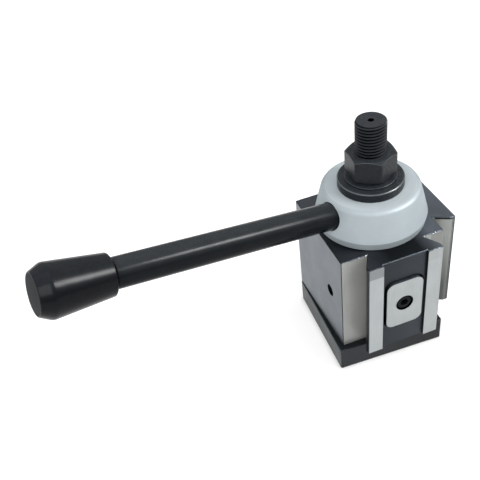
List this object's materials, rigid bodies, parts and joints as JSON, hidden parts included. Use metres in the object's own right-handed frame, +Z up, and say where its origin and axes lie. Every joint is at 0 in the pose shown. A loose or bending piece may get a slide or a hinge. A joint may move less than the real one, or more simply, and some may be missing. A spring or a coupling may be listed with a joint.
{
  "type": "quick change tool post",
  "caption": "Piston type quick change tool post with dovetail block, cam hub, tapered handle knob, clamping stud and nut, standing on a square T-nut blank.",
  "frame": {"origin": "on the clamping stud's axis at the underside of the T-nut blank", "axes": "+Z up along the stud, -Y out of the front dovetail, +X out of the side dovetail, handle towards -X"},
  "size_m": [0.2153, 0.0805, 0.1394],
  "materials": {
    "blank_steel": "dark milled steel",
    "black_steel": "black oxide",
    "ground_steel": "ground",
    "inner_steel": "turned",
    "satin_steel": "satin",
    "black_rod": "black oxide",
    "black_knob": "semi gloss"
  },
  "bodies": {
    "base": {"tnut_blank": "blank_steel", "stud": "black_steel"},
    "post": {"post_block": "ground_steel", "centre_bush": "inner_steel", "cam_thrust_washer": "inner_steel", "top_collar": "black_steel", "cam_retaining_screw": "black_steel"},
    "cam": {"cam_sleeve": "inner_steel", "handle_hub": "satin_steel", "handle_rod": "black_rod", "handle_knob": "black_knob"},
    "front_piston": {"front_pad": "ground_steel", "front_pad_screw": "black_steel", "front_plunger": "inner_steel", "front_follower_pin": "inner_steel"},
    "side_piston": {"side_pad": "ground_steel", "side_pad_screw": "black_steel", "side_plunger": "inner_steel", "side_follower_pin": "inner_steel"},
    "washer": {"nut_washer": "black_steel"},
    "nut": {"stud_nut": "black_steel"}
  },
  "joints": [
    {"name": "post_swivel", "type": "hinge", "parent": "base", "child": "post", "pos_m": [0, 0, 0.0148], "axis": [0, 0, 1], "continuous": true},
    {"name": "handle_swing", "type": "hinge", "parent": "post", "child": "cam", "pos_m": [0, 0, 0.0488], "axis": [0, 0, -1], "range_deg": [0, 65]},
    {"name": "front_piston_slide", "type": "slide", "parent": "post", "child": "front_piston", "axis": [0, -1, 0], "range_m": [0, 0.0018]},
    {"name": "side_piston_slide", "type": "slide", "parent": "post", "child": "side_piston", "axis": [1, 0, 0], "range_m": [0, 0.0018]},
    {"name": "nut_turn", "type": "hinge", "parent": "base", "child": "washer", "pos_m": [0, 0, 0.1039], "axis": [0, 0, 1], "range_deg": [0, 720]},
    {"name": "nut_rise", "type": "slide", "parent": "washer", "child": "nut", "axis": [0, 0, 1], "range_m": [0, 0.004]}
  ],
  "couplings": [
    {"joint": "front_piston_slide", "follows": "handle_swing", "m_per_rad": 0.0015867},
    {"joint": "side_piston_slide", "follows": "handle_swing", "m_per_rad": 0.0015867},
    {"joint": "nut_rise", "follows": "nut_turn", "m_per_rad": 0.00031831}
  ]
}
